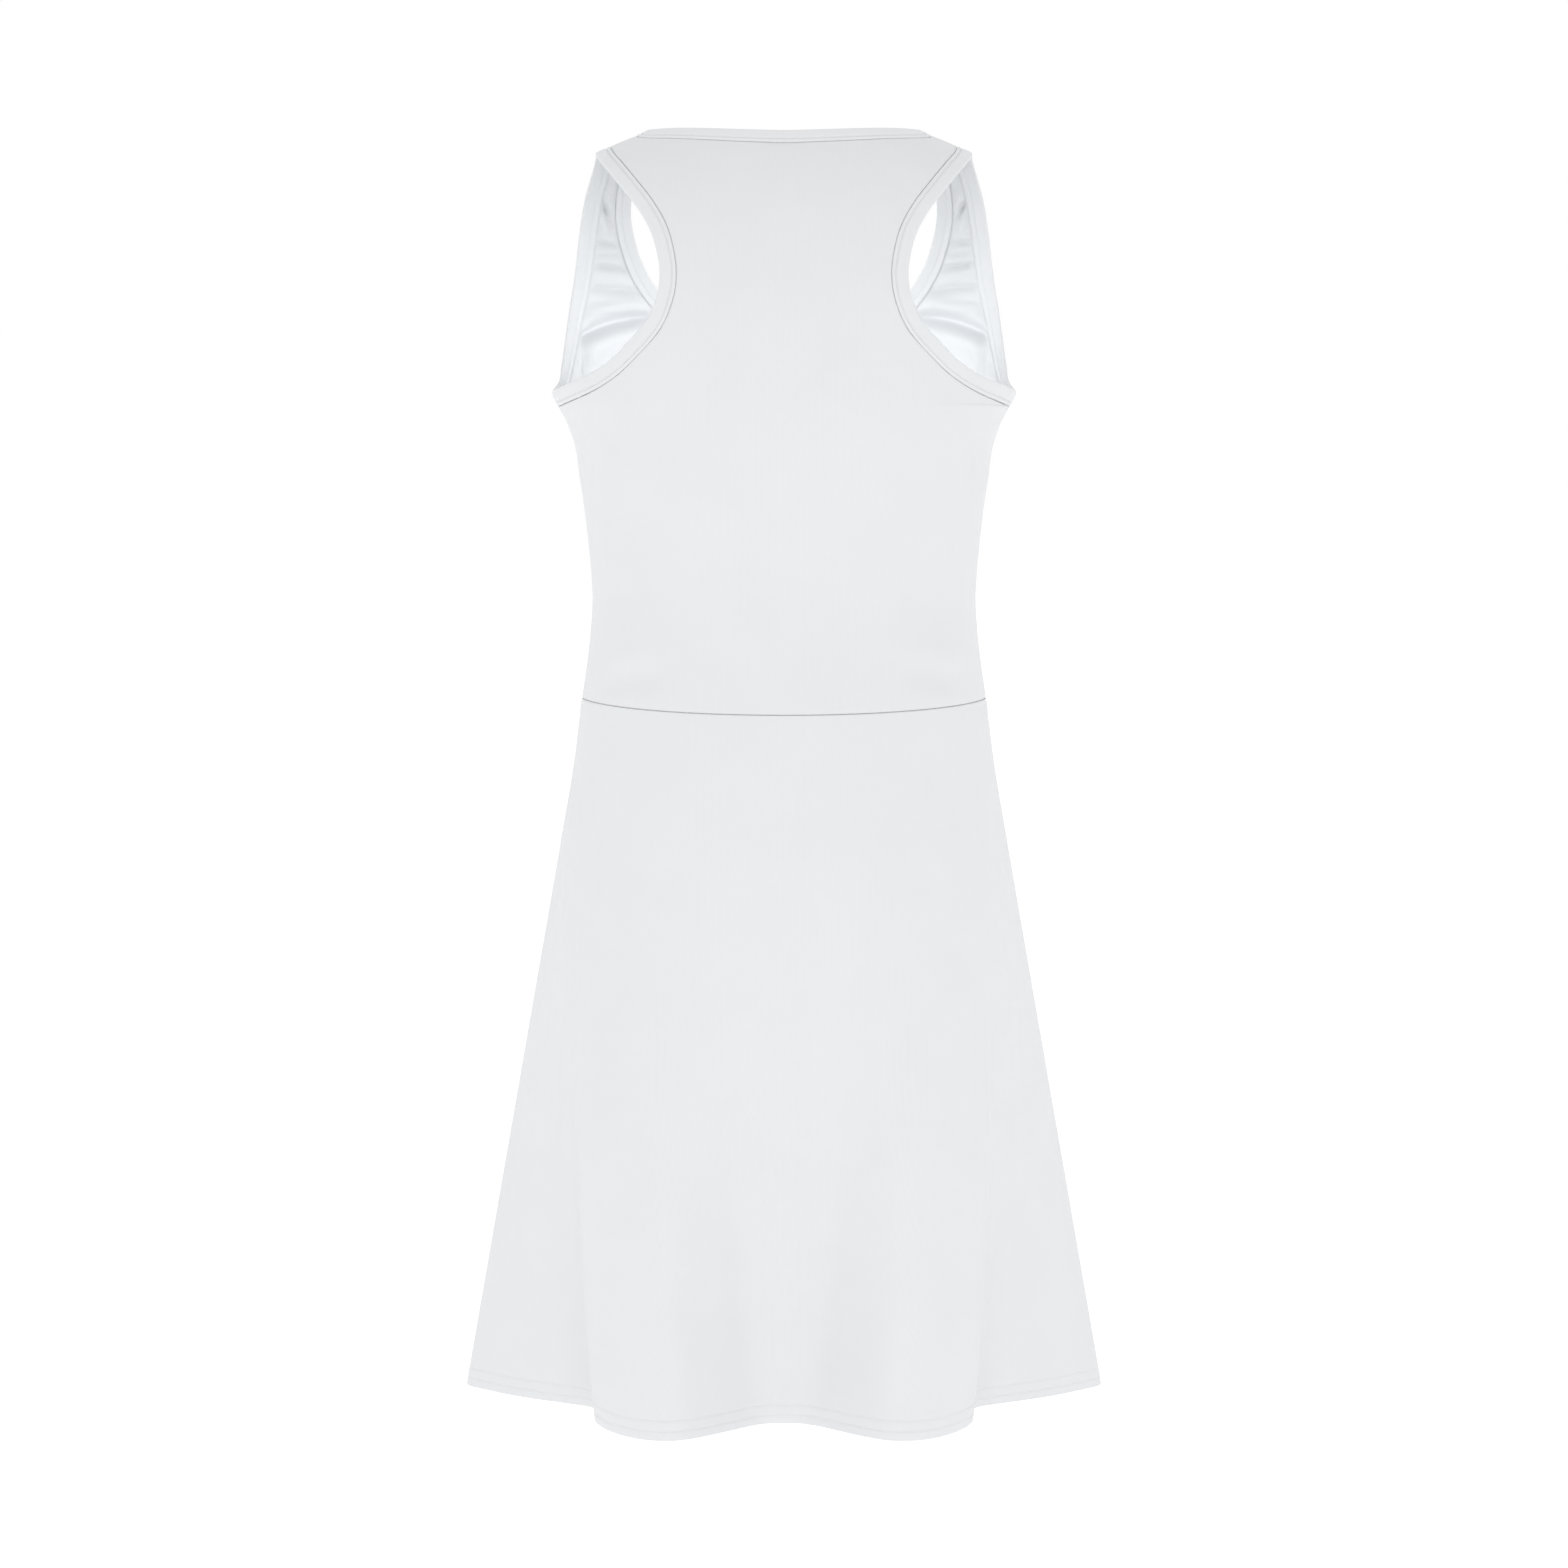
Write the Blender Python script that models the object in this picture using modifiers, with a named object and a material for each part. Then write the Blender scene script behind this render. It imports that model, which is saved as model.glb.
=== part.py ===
import math

import bpy
import numpy as np

# Sleeveless jersey tennis dress with a scooped front neck and a narrow racer back.
# Metres, +Z up. The back of the dress faces -Y and the front faces +Y.
# The origin lies midway between the two shoulder seams, level with their neck ends.

# Cloth
WALL = 0.0013
HEM_WALL = 0.0026
SEAM_GAP = 0.0003
BINDING_WALL = 0.0022
BINDING_CHAMFER = 0.0004

# Bindings, measured across the band
NECK_BAND = 0.0097
ARM_BAND = 0.0110
NECK_BAND_LIFT = 0.45

# Shoulder line: height over the origin at the centre, and how fast it falls away
RIDGE_TOP = 0.0212
RIDGE_FALL = 1.954
BACK_CAP = 0.120
FRONT_CAP = 0.150
SQUARENESS = 0.03

# Waist, hip and hem levels
WAIST_LEVEL = -0.367
BACK_WAIST_DIP = 0.007
FRONT_WAIST_DIP = 0.004
HIP_LEVEL = -0.470
HEM_LEVEL = -0.8305
HEM_TURN_UP = 0.0140
HEM_STEP = 0.0006
FOLD_GROWTH = 1.5

# Mesh density
BODICE_COLUMNS = 12
NECK_ROWS = {-1: 8, 1: 14}
ARM_ROWS = 24
ROW_SPACING = 0.0022
SIDE_ROWS = 7
SKIRT_COLUMNS = 25
SKIRT_ROWS = 10
CURVE_SAMPLES = 800
SLOPE_STEP = 0.0005
WELD_DISTANCE = 0.00005
CHAMFER_ANGLE = 50
# Narrow last rows and columns keep the walls square to the shoulder and side seams
RIDGE_ROW = -0.00002
BODICE_EDGE = (0.996,)
SKIRT_EDGE = (0.980, 0.991, 0.9983)

# Sections of the worn dress: level, half width, depth of the back, depth of the front
LEVEL, HALF_WIDTH, BACK_DEPTH, FRONT_DEPTH = range(4)
SECTIONS = (
    (-0.516, 0.1572, 0.1085, 0.1100),
    (-0.470, 0.1500, 0.1040, 0.1050),
    (-0.409, 0.1396, 0.0950, 0.0990),
    (-0.369, 0.1345, 0.0890, 0.0955),
    (-0.335, 0.1297, 0.0845, 0.0945),
    (-0.302, 0.1272, 0.0825, 0.0970),
    (-0.263, 0.1298, 0.0865, 0.1045),
    (-0.223, 0.1350, 0.0935, 0.1130),
    (-0.197, 0.1392, 0.0978, 0.1155),
    (-0.183, 0.1445, 0.0992, 0.1160),
    (-0.1735, 0.1495, 0.0998, 0.1160),
    (-0.157, 0.1530, 0.1000, 0.1145),
    (-0.130, 0.1585, 0.0995, 0.1120),
    (-0.100, 0.1650, 0.0985, 0.1085),
    (-0.070, 0.1690, 0.0980, 0.1050),
    (-0.040, 0.1710, 0.0980, 0.1020),
    (0.000, 0.1720, 0.0980, 0.1000),
)

# Seam curves on the body, from the shoulder down: turn from the centre in degrees, level
BACK_NECK = ((31.3, 0.0), (30.2, -0.0030), (27.4, -0.0066), (22.0, -0.0112), (15.5, -0.0156),
             (8.0, -0.0190), (0.0, -0.0205))
FRONT_NECK = ((31.3, 0.0), (34.2, -0.0075), (36.6, -0.0235), (37.8, -0.0450), (36.6, -0.0680),
              (34.0, -0.0880), (29.0, -0.1080), (21.5, -0.1260), (11.5, -0.1400), (0.0, -0.1450))
BACK_ARM = ((38.0, 0.0), (36.9, -0.0070), (33.8, -0.0194), (30.4, -0.0325), (26.4, -0.0483),
            (23.5, -0.0640), (22.1, -0.0810), (22.0, -0.0950), (23.2, -0.1090), (26.4, -0.1255),
            (32.0, -0.1405), (41.0, -0.1565), (53.0, -0.1673), (70.0, -0.1733), (90.0, -0.1752))
FRONT_ARM = ((38.0, 0.0), (39.4, -0.0090), (42.5, -0.0280), (45.0, -0.0500), (47.3, -0.0720),
             (50.3, -0.0920), (54.6, -0.1110), (60.0, -0.1300), (67.0, -0.1500), (77.0, -0.1680),
             (90.0, -0.1752))

# Hem curves as the cloth hangs: turn from the centre in degrees, distance out sideways, depth
BACK_HEM = (
    (0.0, 0.0000, 0.1132),
    (6.0, 0.0095, 0.1142),
    (12.0, 0.0212, 0.1212),
    (18.0, 0.0358, 0.1350),
    (24.0, 0.0510, 0.1490),
    (30.0, 0.0675, 0.1595),
    (36.0, 0.0850, 0.1590),
    (42.0, 0.1010, 0.1485),
    (48.0, 0.1150, 0.1290),
    (54.0, 0.1225, 0.1070),
    (60.0, 0.1215, 0.0860),
    (66.0, 0.1270, 0.0695),
    (72.0, 0.1455, 0.0570),
    (78.0, 0.1690, 0.0430),
    (84.0, 0.1935, 0.0240),
    (90.0, 0.2141, 0.0000),
)
FRONT_HEM = (
    (0.0, 0.0000, 0.1170),
    (6.0, 0.0105, 0.1185),
    (12.0, 0.0240, 0.1270),
    (18.0, 0.0390, 0.1410),
    (24.0, 0.0560, 0.1535),
    (30.0, 0.0745, 0.1590),
    (36.0, 0.0920, 0.1540),
    (42.0, 0.1065, 0.1405),
    (48.0, 0.1170, 0.1205),
    (54.0, 0.1230, 0.0990),
    (60.0, 0.1280, 0.0800),
    (66.0, 0.1390, 0.0650),
    (72.0, 0.1555, 0.0520),
    (78.0, 0.1755, 0.0385),
    (84.0, 0.1960, 0.0210),
    (90.0, 0.2141, 0.0000),
)
# Smooth rings the folds are counted from
HEM_HALF_WIDTH = 0.2141
BACK_HEM_DEPTH = 0.1380
FRONT_HEM_DEPTH = 0.1390

BACK = -1
FRONT = 1

# Points the bands reach toward, and a point well inside the body
NECK_CENTRE = np.array([0.0, 0.02, 0.01])
ARM_CENTRE = np.array([0.18, -0.01, -0.09])
BODY_CENTRE = np.array([0.0, 0.0, -0.15])
NECK_LIFT_DEPTH = 0.055


def smooth_lookup(at, keys, values):
    """Cubic Hermite through (keys, values) with slopes taken from the neighbouring rows."""
    slopes = np.gradient(values, keys)
    low = np.clip(np.searchsorted(keys, at) - 1, 0, len(keys) - 2)
    span = keys[low + 1] - keys[low]
    t = (at - keys[low]) / span
    start = (1 + 2 * t) * (1 - t) ** 2 * values[low] + t * (1 - t) ** 2 * span * slopes[low]
    end = t * t * (3 - 2 * t) * values[low + 1] + t * t * (t - 1) * span * slopes[low + 1]
    return start + end


def section(level, column):
    rows = np.array(SECTIONS)
    return smooth_lookup(level, rows[:, LEVEL], rows[:, column])


def ring(turn, half_width, depth, side):
    """Rounded-square ring: x = a(sin t + c sin 3t)/(1-c), y = d(cos t - c cos 3t)/(1-c)."""
    x = half_width * (np.sin(turn) + SQUARENESS * np.sin(3 * turn)) / (1 - SQUARENESS)
    y = side * depth * (np.cos(turn) - SQUARENESS * np.cos(3 * turn)) / (1 - SQUARENESS)
    return x, y


def body_point(turn, level, side):
    """Point of the bodice; above the cap height the ring closes over the shoulder line."""
    cap = BACK_CAP if side == BACK else FRONT_CAP
    rise = np.clip(1 + level / cap, 0, 1)
    depth = section(level, BACK_DEPTH if side == BACK else FRONT_DEPTH) * np.sqrt(1 - rise**2)
    x, y = ring(turn, section(level, HALF_WIDTH), depth, side)
    z = level + rise**2 * (RIDGE_TOP - RIDGE_FALL * x**2)
    return np.stack([x, y, z], axis=-1)


def hem_rows(side):
    """Hem table with one row reflected past each end, so the curve runs on smoothly."""
    rows = np.array(BACK_HEM if side == BACK else FRONT_HEM)
    before = rows[1] * np.array([-1, -1, 1])
    after = np.array([2 * rows[-1, 0] - rows[-2, 0], rows[-2, 1], -rows[-2, 2]])
    return np.vstack([before, rows, after])


def skirt_point(turn, level, side):
    """Ring down to the hip, then straight lines to the hem ring, plus folds that grow."""
    column = BACK_DEPTH if side == BACK else FRONT_DEPTH
    hem = hem_rows(side)
    hem_depth = BACK_HEM_DEPTH if side == BACK else FRONT_HEM_DEPTH
    upper = np.maximum(level, HIP_LEVEL)
    x, y = ring(turn, section(upper, HALF_WIDTH), section(upper, column), side)
    ring_x, ring_y = ring(turn, HEM_HALF_WIDTH, hem_depth, side)
    degrees = np.degrees(turn)
    hem_x = smooth_lookup(degrees, hem[:, 0], hem[:, 1])
    hem_y = side * smooth_lookup(degrees, hem[:, 0], hem[:, 2])
    fall = np.clip((HIP_LEVEL - level) / (HIP_LEVEL - HEM_LEVEL), 0, 1)
    grown = fall**FOLD_GROWTH
    x = x + fall * (ring_x - x) + grown * (hem_x - ring_x)
    y = y + fall * (ring_y - y) + grown * (hem_y - ring_y)
    return np.stack([x, y, level], axis=-1)


def seam_curve(table, side, steps):
    """Points at even distances along a seam curve: turn in radians and level."""
    rows = np.array(table)
    keys = np.arange(len(rows), dtype=float)
    at = np.linspace(0, keys[-1], CURVE_SAMPLES)
    turn = np.radians(smooth_lookup(at, keys, rows[:, 0]))
    level = np.minimum(smooth_lookup(at, keys, rows[:, 1]), 0.0)
    points = body_point(turn, level, side)
    run = np.concatenate([[0], np.cumsum(np.linalg.norm(np.diff(points, axis=0), axis=1))])
    even = np.linspace(0, run[-1], steps)
    return np.interp(even, run, turn), np.interp(even, run, level)


def turn_on_curve(table, side, level):
    """Turn of a seam curve at the given levels."""
    turn, levels = seam_curve(table, side, CURVE_SAMPLES)
    order = np.argsort(levels)
    return np.interp(level, levels[order], turn[order])


def waist_level(turn, side):
    dip = BACK_WAIST_DIP if side == BACK else FRONT_WAIST_DIP
    return WAIST_LEVEL - dip * np.cos(turn) ** 2


def grid_object(name, points, slot):
    """Mesh object from a grid of points with shape (rows, columns, 3)."""
    rows, columns = points.shape[:2]
    index = np.arange(rows * columns).reshape(rows, columns)
    quads = np.stack([index[:-1, :-1], index[:-1, 1:], index[1:, 1:], index[1:, :-1]], axis=-1)
    mesh = bpy.data.meshes.new(name)
    mesh.from_pydata(points.reshape(-1, 3).tolist(), [], quads.reshape(-1, 4).tolist())
    mesh.validate()
    mesh.polygons.foreach_set("use_smooth", [True] * len(mesh.polygons))
    mesh.materials.append(slot)
    created = bpy.data.objects.new(name, mesh)
    dress.objects.link(created)
    return created


def mirrored(target):
    mirror = target.modifiers.new("other_half", "MIRROR")
    mirror.use_axis = (True, False, False)
    mirror.use_clip = True
    mirror.merge_threshold = WELD_DISTANCE


def thickened(target, thickness, offset):
    wall = target.modifiers.new("wall", "SOLIDIFY")
    wall.thickness = thickness
    wall.offset = offset
    wall.use_even_offset = True
    return wall


def bodice_levels(side, neck, arm):
    """Row levels from the shoulder to the underarm, close together where the seams turn."""
    neck_rows = seam_curve(neck, side, NECK_ROWS[side])[1]
    arm_rows = seam_curve(arm, side, ARM_ROWS)[1]
    nearest = np.min(np.abs(arm_rows[:, None] - neck_rows[None, :]), axis=1)
    spread = arm_rows[nearest > ROW_SPACING]
    levels = np.concatenate([neck_rows, [RIDGE_ROW], spread, arm_rows[-1:]])
    return np.unique(np.round(levels, 7))[::-1]


def columns(count, edge):
    even = np.linspace(0, 1, count + 1)
    return np.concatenate([even[:-1], edge, [1.0]])


def bodice(name, side, neck, arm, slot):
    upper = bodice_levels(side, neck, arm)
    inner = turn_on_curve(neck, side, upper)
    outer = turn_on_curve(arm, side, upper)
    across = columns(BODICE_COLUMNS, BODICE_EDGE)
    turn = inner[:, None] + (outer - inner)[:, None] * across[None, :]
    level = np.broadcast_to(upper[:, None], turn.shape)
    side_turn = np.broadcast_to(across * math.pi / 2, (SIDE_ROWS, len(across)))
    down = np.linspace(0, 1, SIDE_ROWS + 1)[1:, None]
    side_level = upper[-1] + down * (waist_level(side_turn, side) - upper[-1])
    turn = np.concatenate([turn, side_turn])
    level = np.concatenate([level, side_level])
    points = body_point(turn, level, side)
    points[..., 1] += side * SEAM_GAP / 2
    if side == BACK:
        points = points[:, ::-1]
    panel = grid_object(name, points, slot)
    mirrored(panel)
    thickened(panel, WALL, -1)
    return panel


def skirt(name, side, slot):
    across = columns(SKIRT_COLUMNS, SKIRT_EDGE) * math.pi / 2
    turn = np.broadcast_to(across, (SKIRT_ROWS + 4, len(across)))
    top = waist_level(across, side) - SEAM_GAP
    fold_line = HEM_LEVEL + HEM_TURN_UP
    down = np.linspace(0, 1, SKIRT_ROWS + 1)[:, None]
    upper = top + down * (fold_line + HEM_STEP - top)
    lower = np.linspace(fold_line, HEM_LEVEL, 3)[:, None] + 0 * across
    level = np.concatenate([upper, lower])
    points = skirt_point(turn, level, side)
    points[..., 1] += side * SEAM_GAP / 2
    if side == BACK:
        points = points[:, ::-1]
    panel = grid_object(name, points, slot)
    turned_up = panel.vertex_groups.new(name="turned_up_hem")
    hem_vertices = [v.index for v in panel.data.vertices if v.co.z < fold_line + HEM_STEP / 2]
    turned_up.add(hem_vertices, 1.0, "REPLACE")
    mirrored(panel)
    wall = thickened(panel, HEM_WALL, -1)
    wall.vertex_group = "turned_up_hem"
    wall.thickness_vertex_group = WALL / HEM_WALL
    return panel


def edge_frame(table, levels, side):
    """Points of a seam curve at the panel's row levels, with the cloth's outward normal."""
    level = levels[levels >= table[-1][1] - ROW_SPACING / 10]
    turn = turn_on_curve(table, side, level)
    cap = BACK_CAP if side == BACK else FRONT_CAP
    round_over = np.arccos(np.clip(1 + level / cap, -1, 1))
    angle = np.where(level < -cap, math.pi / 2 + (-level - cap) / cap, round_over)

    def at(turned, bent):
        straight = -cap - (bent - math.pi / 2) * cap
        new_level = np.where(bent > math.pi / 2, straight, -cap * (1 - np.cos(bent)))
        return body_point(turned, np.minimum(new_level, 0.0), side)

    inside = np.maximum(angle, SLOPE_STEP)
    along = at(turn + SLOPE_STEP, inside) - at(turn - SLOPE_STEP, inside)
    down = at(turn, inside + SLOPE_STEP) - at(turn, inside - SLOPE_STEP)
    normal = np.cross(along, down)
    normal = normal / np.linalg.norm(normal, axis=-1, keepdims=True)
    points = body_point(turn, level, side)
    facing = np.sign(np.sum(normal * (points - BODY_CENTRE), axis=-1))
    points[:, 1] += side * SEAM_GAP / 2
    return points, normal * facing[:, None]


def band(name, points, normals, width, toward, lift, slot):
    """Closed band of cloth standing on a seam loop and reaching into its opening."""
    along = np.roll(points, -1, axis=0) - np.roll(points, 1, axis=0)
    along = along / np.linalg.norm(along, axis=-1, keepdims=True)
    reach = np.cross(along, normals)
    inward = np.sum(reach * (toward - points), axis=-1, keepdims=True)
    reach = reach * np.sign(inward)
    reach[:, 2] += lift
    reach = reach - np.sum(reach * along, axis=-1, keepdims=True) * along
    reach = reach / np.linalg.norm(reach, axis=-1, keepdims=True)
    middle = points - normals * WALL / 2
    out = SEAM_GAP + np.array([0.0, width])
    grid = middle[None, :, :] + out[:, None, None] * reach[None, :, :]
    grid = np.concatenate([grid, grid[:, :1]], axis=1)
    created = grid_object(name, grid, slot)
    weld = created.modifiers.new("closed_loop", "WELD")
    weld.merge_threshold = WELD_DISTANCE
    thickened(created, BINDING_WALL, 0)
    chamfer = created.modifiers.new("soft_edge", "BEVEL")
    chamfer.width = BINDING_CHAMFER
    chamfer.segments = 1
    chamfer.limit_method = "ANGLE"
    chamfer.angle_limit = math.radians(CHAMFER_ANGLE)
    return created


def half_loop(table_back, table_front):
    """Seam points on the +X side, from the back over the shoulder to the front."""
    back_levels = bodice_levels(BACK, BACK_NECK, BACK_ARM)
    front_levels = bodice_levels(FRONT, FRONT_NECK, FRONT_ARM)
    back_points, back_normals = edge_frame(table_back, back_levels, BACK)
    front_points, front_normals = edge_frame(table_front, front_levels, FRONT)
    points = np.concatenate([back_points[::-1], front_points[1:]])
    normals = np.concatenate([back_normals[::-1], front_normals[1:]])
    return points, normals


def neck_band(slot):
    points, normals = half_loop(BACK_NECK, FRONT_NECK)
    flip = np.array([-1.0, 1.0, 1.0])
    points = np.concatenate([points, (points * flip)[::-1][1:-1]])
    normals = np.concatenate([normals, (normals * flip)[::-1][1:-1]])
    behind = np.clip(-points[:, 1] / NECK_LIFT_DEPTH, 0, 1)
    lift = NECK_BAND_LIFT * behind
    return band("neck_binding", points, normals, NECK_BAND, NECK_CENTRE, lift, slot)


def arm_band(name, sign, slot):
    points, normals = half_loop(BACK_ARM, FRONT_ARM)
    flip = np.array([sign, 1.0, 1.0])
    toward = ARM_CENTRE * flip
    return band(name, points[:-1] * flip, normals[:-1] * flip, ARM_BAND, toward, 0.0, slot)


def cloth(name, color, roughness):
    material = bpy.data.materials.new(name)
    material.use_nodes = True
    shader = material.node_tree.nodes["Principled BSDF"]
    shader.inputs["Base Color"].default_value = color
    shader.inputs["Roughness"].default_value = roughness
    shader.inputs["Metallic"].default_value = 0.0
    return material


for stale in list(bpy.data.objects):
    bpy.data.objects.remove(stale)

dress = bpy.data.collections.new("tennis_dress")
bpy.context.scene.collection.children.link(dress)

jersey = cloth("white_jersey", (0.86, 0.87, 0.89, 1.0), 0.75)
binding_jersey = cloth("white_binding", (0.88, 0.89, 0.91, 1.0), 0.72)

bodice("back_bodice", BACK, BACK_NECK, BACK_ARM, jersey)
bodice("front_bodice", FRONT, FRONT_NECK, FRONT_ARM, jersey)
skirt("back_skirt", BACK, jersey)
skirt("front_skirt", FRONT, jersey)
neck_band(binding_jersey)
arm_band("armhole_binding_left", -1.0, binding_jersey)
arm_band("armhole_binding_right", 1.0, binding_jersey)
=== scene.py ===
import math

import bmesh
import bpy
import numpy as np
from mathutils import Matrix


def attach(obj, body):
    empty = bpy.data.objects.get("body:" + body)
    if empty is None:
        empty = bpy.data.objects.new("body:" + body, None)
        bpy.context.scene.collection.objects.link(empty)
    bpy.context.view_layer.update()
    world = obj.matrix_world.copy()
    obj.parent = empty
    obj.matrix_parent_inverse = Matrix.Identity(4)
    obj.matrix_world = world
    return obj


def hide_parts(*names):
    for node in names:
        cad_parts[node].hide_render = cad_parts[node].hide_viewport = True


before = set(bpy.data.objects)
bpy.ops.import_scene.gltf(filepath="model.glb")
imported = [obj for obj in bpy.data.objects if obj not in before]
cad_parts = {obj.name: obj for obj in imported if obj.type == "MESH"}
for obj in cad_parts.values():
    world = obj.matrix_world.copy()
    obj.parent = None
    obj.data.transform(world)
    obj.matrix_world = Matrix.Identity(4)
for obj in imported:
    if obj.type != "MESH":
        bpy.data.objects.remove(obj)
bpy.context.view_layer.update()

print("frame loaded, nodes:", ", ".join(sorted(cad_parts)))

back = -1   # the racer back faces -Y
front = 1   # the scooped front faces +Y

# The form of the worn dress, in metres. Sections run from the hip up to the shoulder line.
dressForm = {
    "squareness": 0.03,       # how much fuller than an ellipse each ring is
    "ridgeTop": 0.0212,       # height of the shoulder line at the centre
    "ridgeFall": 1.954,       # how fast it falls away sideways
    "cap": {back: 0.120, front: 0.150},
    "waistLevel": -0.367,
    "waistDip": {back: 0.007, front: 0.004},
    "hipLevel": -0.470,
    "hemLevel": -0.8305,
    "hemHalfWidth": 0.2141,
    "hemDepth": {back: 0.1380, front: 0.1390},
    "foldGrowth": 1.5,
    "seamGap": 0.00015,
    "wall": 0.0013,
    # columns: level, half width, depth of the back, depth of the front
    "sections": (
        (-0.516, 0.1572, 0.1085, 0.1100),
        (-0.470, 0.1500, 0.1040, 0.1050),
        (-0.409, 0.1396, 0.0950, 0.0990),
        (-0.369, 0.1345, 0.0890, 0.0955),
        (-0.335, 0.1297, 0.0845, 0.0945),
        (-0.302, 0.1272, 0.0825, 0.0970),
        (-0.263, 0.1298, 0.0865, 0.1045),
        (-0.223, 0.1350, 0.0935, 0.1130),
        (-0.197, 0.1392, 0.0978, 0.1155),
        (-0.183, 0.1445, 0.0992, 0.1160),
        (-0.1735, 0.1495, 0.0998, 0.1160),
        (-0.157, 0.1530, 0.1000, 0.1145),
        (-0.130, 0.1585, 0.0995, 0.1120),
        (-0.100, 0.1650, 0.0985, 0.1085),
        (-0.070, 0.1690, 0.0980, 0.1050),
        (-0.040, 0.1710, 0.0980, 0.1020),
        (0.000, 0.1720, 0.0980, 0.1000),
    ),
}

# Seam curves from the shoulder down. Columns: turn from the centre in degrees, level
seamTables = {
    ("neck", back): ((31.3, 0.0), (30.2, -0.0030), (27.4, -0.0066), (22.0, -0.0112),
                     (15.5, -0.0156), (8.0, -0.0190), (0.0, -0.0205)),
    ("neck", front): ((31.3, 0.0), (34.2, -0.0075), (36.6, -0.0235), (37.8, -0.0450),
                      (36.6, -0.0680), (34.0, -0.0880), (29.0, -0.1080), (21.5, -0.1260),
                      (11.5, -0.1400), (0.0, -0.1450)),
    ("arm", back): ((38.0, 0.0), (36.9, -0.0070), (33.8, -0.0194), (30.4, -0.0325),
                    (26.4, -0.0483), (23.5, -0.0640), (22.1, -0.0810), (22.0, -0.0950),
                    (23.2, -0.1090), (26.4, -0.1255), (32.0, -0.1405), (41.0, -0.1565),
                    (53.0, -0.1673), (70.0, -0.1733), (90.0, -0.1752)),
    ("arm", front): ((38.0, 0.0), (39.4, -0.0090), (42.5, -0.0280), (45.0, -0.0500),
                     (47.3, -0.0720), (50.3, -0.0920), (54.6, -0.1110), (60.0, -0.1300),
                     (67.0, -0.1500), (77.0, -0.1680), (90.0, -0.1752)),
}

# The hem as it hangs. Columns: turn from the centre in degrees, distance sideways, depth
hemTables = {
    back: ((0.0, 0.0000, 0.1132), (6.0, 0.0095, 0.1142), (12.0, 0.0212, 0.1212),
           (18.0, 0.0358, 0.1350), (24.0, 0.0510, 0.1490), (30.0, 0.0675, 0.1595),
           (36.0, 0.0850, 0.1590), (42.0, 0.1010, 0.1485), (48.0, 0.1150, 0.1290),
           (54.0, 0.1225, 0.1070), (60.0, 0.1215, 0.0860), (66.0, 0.1270, 0.0695),
           (72.0, 0.1455, 0.0570), (78.0, 0.1690, 0.0430), (84.0, 0.1935, 0.0240),
           (90.0, 0.2141, 0.0000)),
    front: ((0.0, 0.0000, 0.1170), (6.0, 0.0105, 0.1185), (12.0, 0.0240, 0.1270),
            (18.0, 0.0390, 0.1410), (24.0, 0.0560, 0.1535), (30.0, 0.0745, 0.1590),
            (36.0, 0.0920, 0.1540), (42.0, 0.1065, 0.1405), (48.0, 0.1170, 0.1205),
            (54.0, 0.1230, 0.0990), (60.0, 0.1280, 0.0800), (66.0, 0.1390, 0.0650),
            (72.0, 0.1555, 0.0520), (78.0, 0.1755, 0.0385), (84.0, 0.1960, 0.0210),
            (90.0, 0.2141, 0.0000)),
}


# ---- form of the worn dress


# Cubic Hermite curve through the rows, its slope at a row taken from the rows on both sides
def smoothLookup(at, keys, values):
    slopes = np.gradient(values, keys)
    low = np.clip(np.searchsorted(keys, at) - 1, 0, len(keys) - 2)
    span = keys[low + 1] - keys[low]
    t = (at - keys[low]) / span
    start = (1 + 2 * t) * (1 - t) ** 2 * values[low] + t * (1 - t) ** 2 * span * slopes[low]
    end = t * t * (3 - 2 * t) * values[low + 1] + t * t * (t - 1) * span * slopes[low + 1]
    return start + end


def section(level, column):
    rows = np.array(dressForm["sections"])
    return smoothLookup(level, rows[:, 0], rows[:, column])


# x = a (sin t + c sin 3t) / (1 - c) and y = d (cos t - c cos 3t) / (1 - c): a squared ellipse
def ringPoint(turn, halfWidth, depth, side):
    c = dressForm["squareness"]
    x = halfWidth * (np.sin(turn) + c * np.sin(3 * turn)) / (1 - c)
    y = side * depth * (np.cos(turn) - c * np.cos(3 * turn)) / (1 - c)
    return x, y


# The fall is the angle over the shoulder cap, then runs on straight down the body
def fallOfLevel(level, side):
    cap = dressForm["cap"][side]
    bent = np.arccos(np.clip(1 + level / cap, -1, 1))
    return np.where(level < -cap, math.pi / 2 + (-level - cap) / cap, bent)


def levelOfFall(fall, side):
    cap = dressForm["cap"][side]
    return np.where(fall > math.pi / 2, -cap - (fall - math.pi / 2) * cap, -cap * (1 - np.cos(fall)))


# Ring at the level; above the cap its depth closes as a quarter circle onto the shoulder line
def bodyPoint(turn, fall, side):
    level = np.minimum(levelOfFall(fall, side), 0.0)
    rise = np.clip(1 + level / dressForm["cap"][side], 0, 1)
    depth = section(level, 2 if side == back else 3) * np.sqrt(1 - rise**2)
    x, y = ringPoint(turn, section(level, 1), depth, side)
    z = level + rise**2 * (dressForm["ridgeTop"] - dressForm["ridgeFall"] * x**2)
    return np.stack([x, y + side * dressForm["seamGap"] / 2, z], axis=-1)


# Hem rows with one row reflected past each end, so the curve runs on smoothly there
def hemRows(side):
    rows = np.array(hemTables[side])
    before = rows[1] * np.array([-1, -1, 1])
    after = np.array([2 * rows[-1, 0] - rows[-2, 0], rows[-2, 1], -rows[-2, 2]])
    return np.vstack([before, rows, after])


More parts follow.
